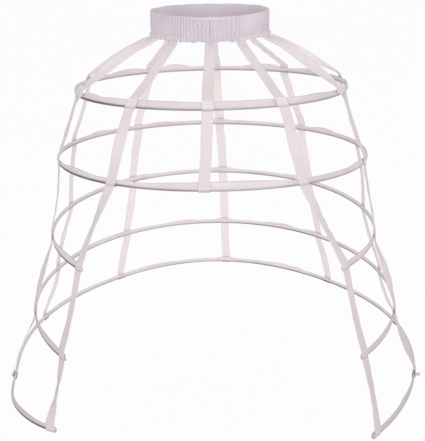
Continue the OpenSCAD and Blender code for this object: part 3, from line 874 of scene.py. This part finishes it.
def make_tape(tape):
    """A flat outline with rounded edges, carried along the stops. The middle cups a little and the edges
    ripple. The line of each hoop behind the tape is marked for the finish to paint its shade."""
    points, widths, turns = tape_stops(tape)
    p, w, s = soft_line(points, widths)
    seed = int(tape.sway * 10) + 7
    twist = np.radians(np.interp(s, run_length(points), turns))[:, None]
    d = unit(np.gradient(p, axis=0))
    w = unit(w - d * np.sum(w * d, 1, keepdims=True))
    w = w * np.cos(twist) + np.cross(d, w) * np.sin(twist)
    m = np.cross(w, d)
    crossed = np.stack([hoop_spot(i, t)[0] for i, t in enumerate(tape.places[1:])])
    far = np.linalg.norm(p[:, None] - crossed, axis=2)
    near = far.min(1)
    free = smooth(18, 60, near) * smooth(20, 70, s) * smooth(10, 60, s[-1] - s)
    side = np.array([-1.0, -0.97, -0.75, -0.5, -0.25, 0, 0.25, 0.5, 0.75, 0.97, 1.0])
    half = TAPE_T / 2 * np.array([0.35, 0.9, 1.0, 0.92, 0.9, 0.9, 0.9, 0.92, 1.0, 0.9, 0.35])
    across = np.concatenate([side, side[::-1]])
    thick = np.concatenate([half, -half[::-1]])
    cup = 0.8 * drift(s * 0.02, seed)[:, None] * free[:, None] * (across**2 - 0.4)
    ripple = 0.5 * np.sin(s * 0.16 + 2 * drift(s * 0.02, seed + 1))[:, None] * free[:, None] * across**3
    aside = 1.6 * drift(s * 0.012, seed + 2) * free
    narrow = 1.03 - 0.02 * smooth(0, 30, near) - 0.02 * drift(s * 0.03, seed + 3)
    along_w = across * (TAPE_W / 2) * narrow[:, None] + aside[:, None]
    grid = p[:, None] + w[:, None] * along_w[..., None] + m[:, None] * (thick + cup + ripple)[..., None]
    slope = (grid[:, :, None, 1] - crossed[:, 1]) * TILT[: len(crossed)]
    level = grid[:, :, None, 2] - crossed[:, 2] - slope
    # The front centre tape, which ends on the closed hoops, takes a deeper painted shade along their line
    firm = 1.5 if len(crossed) == CLOSED else 1.0
    # How deep the painted shade along each hoop's steel is, on the outer face only
    steel_shade_depth = np.sum(bell(level, -3.4, 1.9) * (far < 16)[:, None], axis=2) * firm
    o = grid_piece(tape.name + "_cloth", grid, s, across * TAPE_W / 2, TAPE_LOOK)
    mark(o, "inner", np.ones(len(s))[:, None] * (thick > 0))
    mark(o, "steel_shade_depth", steel_shade_depth * (thick < 0))
    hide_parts(tape.name)
    s[-1] * MM


def make_tab(name, t, size):
    """The loose end of a side tape: a small flat leaf that stands out from the lowest hoop."""
    place, out, _ = hoop_spot(LOWEST, t)
    face = np.array([-out[1], out[0], 0])
    u = np.linspace(0, 1, 7)
    w = np.array([-1, -0.9, -0.5, 0, 0.5, 0.9, 1, 0.9, 0.5, 0, -0.5, -0.9])
    thick = TAPE_T / 2 * np.array([0, 1, 1, 1, 1, 1, 0, -1, -1, -1, -1, -1])
    root = place + out * (TAPE_R + 0.9) - UP
    curl = size * 0.5 * u[:, None] * w**2 * 0.3
    rise = w * (3.2 + 0.9 * u[:, None]) + 0.8 * u[:, None]
    p = root + out * (u * size)[:, None, None] + UP * rise[..., None] + face * (thick + curl)[..., None]
    o = grid_piece(name, p, u * size, w * 4, TAPE_LOOK)


# Sewing thread


def make_stitches(name, starts, ends, out):
    """Short arched threads: a five-sided outline carried from start to end, proud of the cloth midway."""
    rings, sides = len(RING_AT), THREAD_SIDES
    run = ends - starts
    side = unit(np.cross(unit(run), out))
    middle = starts[:, None] + run[:, None] * RING_AT[:, None] + out[:, None] * RING_LIFT[:, None]
    a = (np.arange(sides) / sides * 2 * np.pi)[:, None]
    outline = np.cos(a) * side[:, None, None] + np.sin(a) * out[:, None, None]
    p = middle[:, :, None] + (THREAD_W / 2 * RING_SWELL)[:, None, None] * outline
    i, j = np.meshgrid(np.arange(rings - 1) * sides, np.arange(sides), indexing="ij")
    turned = (j + 1) % sides
    quads = np.stack([i + j, i + turned, i + sides + turned, i + sides + j], -1).reshape(-1, 4)
    first = np.arange(len(starts))[:, None] * rings * sides
    faces = (quads + first[..., None]).reshape(-1, 4).tolist()
    for cap in (np.arange(sides)[::-1], np.arange(sides) + (rings - 1) * sides):
        faces += (cap + first).tolist()
    m = bpy.data.meshes.new(name)
    m.from_pydata((p.reshape(-1, 3) * MM).tolist(), [], faces)
    layer = m.uv_layers.new(name="UVMap")
    corner = np.empty(len(m.loops), np.int32)
    m.loops.foreach_get("vertex_index", corner)
    uv = np.stack([corner % (rings * sides) // sides * 0.6, corner % sides * 0.4], -1)
    layer.data.foreach_set("uv", uv.astype(np.float32).ravel())
    m.polygons.foreach_set("use_smooth", np.ones(len(m.polygons), bool))
    o = add_piece(name, m, THREAD_LOOK)


def make_tacks():
    """Two rows of stitches across each tape where it lies on a hoop."""
    starts, ends, outs = [], [], []
    for tape in TAPES:
        for i, t in enumerate(tape.places[1:]):
            slide = tape.slide(i)
            for z in TACK_ROWS:
                along = slide * (z + TAPE_BELOW) / (TAPE_ABOVE + TAPE_BELOW)
                place, out, run = hoop_spot(i, t - along)
                base = place + out * (TAPE_R + abs(slide) * 0.1 + TAPE_T / 2 + 0.08) + UP * z
                starts.append(base + run * (TACK_PLACES - 1.0))
                ends.append(base + run * (TACK_PLACES + 1.0))
                outs.append(out + 0 * TACK_PLACES)
    make_stitches("tape_tacks", np.concatenate(starts), np.concatenate(ends), np.concatenate(outs))


make_waistband()
for hoop_index in range(len(DROP)):
    make_casing(hoop_index)
for hanging in TAPES:
    make_tape(hanging)
for tab in TABS:
    make_tab(*tab)
make_tacks()

# The steels, sleeves, caps and elastic keep their solids
spring = steel_finish("spring_steel_strip", (0.42, 0.41, 0.44))
crimp = steel_finish("crimped_sheet", (0.58, 0.58, 0.60))
elastic = elastic_finish()
SOLID_LOOKS = {"_steel": spring, "_joiner": crimp, "_tip_": crimp, "waist_elastic": elastic}
for node_name, node_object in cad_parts.items():
    for word, look in SOLID_LOOKS.items():
        if word in node_name:
            node_object.data.materials.clear()
            node_object.data.materials.append(look)


# Floor, light and camera, in metres

FLOOR_HALF, FLOOR_Z = 14.0, -1.03
SKY_LIGHT = 0.80
AIM = (0, 0, -0.35)
# The frame's longer side and the focal length in its pixels, the sensor, and the camera's place and turns
FRAME_PIXELS, FOCAL_PIXELS, SENSOR = 441, 900, 36.0
CAMERA_AT, LOOK_DOWN, ROLL = (-0.002, -1.803, 0.1805), 18.37, -0.9724


def make_floor():
    """A wide pale floor at the height of the ground under a standing wearer."""
    f = new_finish("studio_floor")
    pale = f.node("ShaderNodeBsdfDiffuse", None, {"Color": rgba(0.88, 0.88, 0.88)})
    white = f.node("ShaderNodeEmission", None, {"Color": rgba(1, 1, 1), "Strength": 1.0})
    both = f.node("ShaderNodeMixShader", None, {0: f.direct() * 0.92, 1: pale, 2: white})
    f.node("ShaderNodeOutputMaterial", None, {"Surface": both})
    m = bpy.data.meshes.new("studio_floor")
    s, z = FLOOR_HALF, FLOOR_Z
    m.from_pydata([(-s, -s, z), (s, -s, z), (s, s, z), (-s, s, z)], [], [(0, 1, 2, 3)])
    m.materials.append(f.owner)
    add_object("studio_floor", m)


def make_world():
    """A white sky that lights the part a little less than it shows."""
    f = Finish(bpy.data.worlds.new("studio"))
    level = f.node("ShaderNodeMapRange", None, {0: f.direct(), 3: SKY_LIGHT, 4: 1.0})
    sky = f.node("ShaderNodeBackground", None, {0: rgba(1, 1, 1), 1: level})
    f.node("ShaderNodeOutputWorld", None, {0: sky})
    scene.world = f.owner


def make_lamp(name, place, power, size):
    """A round soft lamp, aimed at the middle of the cage."""
    lamp = bpy.data.lights.new(name, "AREA")
    lamp.energy, lamp.size, lamp.shape = power, size, "DISK"
    o = add_object(name, lamp)
    o.location = place
    o.rotation_euler = (Vector(AIM) - Vector(place)).to_track_quat("-Z", "Y").to_euler()


def make_camera():
    """The photograph's viewpoint: about 1.8 m away, a little above the band, looking down 18 degrees."""
    data = bpy.data.cameras.new("camera")
    data.sensor_width, data.lens = SENSOR, FOCAL_PIXELS * SENSOR / FRAME_PIXELS
    data.clip_start, data.clip_end = 0.05, 60
    o = add_object("camera", data)
    tip = Matrix.Rotation(math.radians(90 - LOOK_DOWN), 4, "X")
    o.matrix_world = Matrix.Translation(CAMERA_AT) @ (tip @ Matrix.Rotation(math.radians(ROLL), 4, "Z"))
    scene.camera = o


make_floor()
make_world()
make_lamp("key", (1.2, -6.6, 0.25), 110, 2.0)
make_lamp("low", (-2.0, -6.8, -0.1), 45, 1.6)
make_camera()
scene.view_settings.view_transform = "Standard"
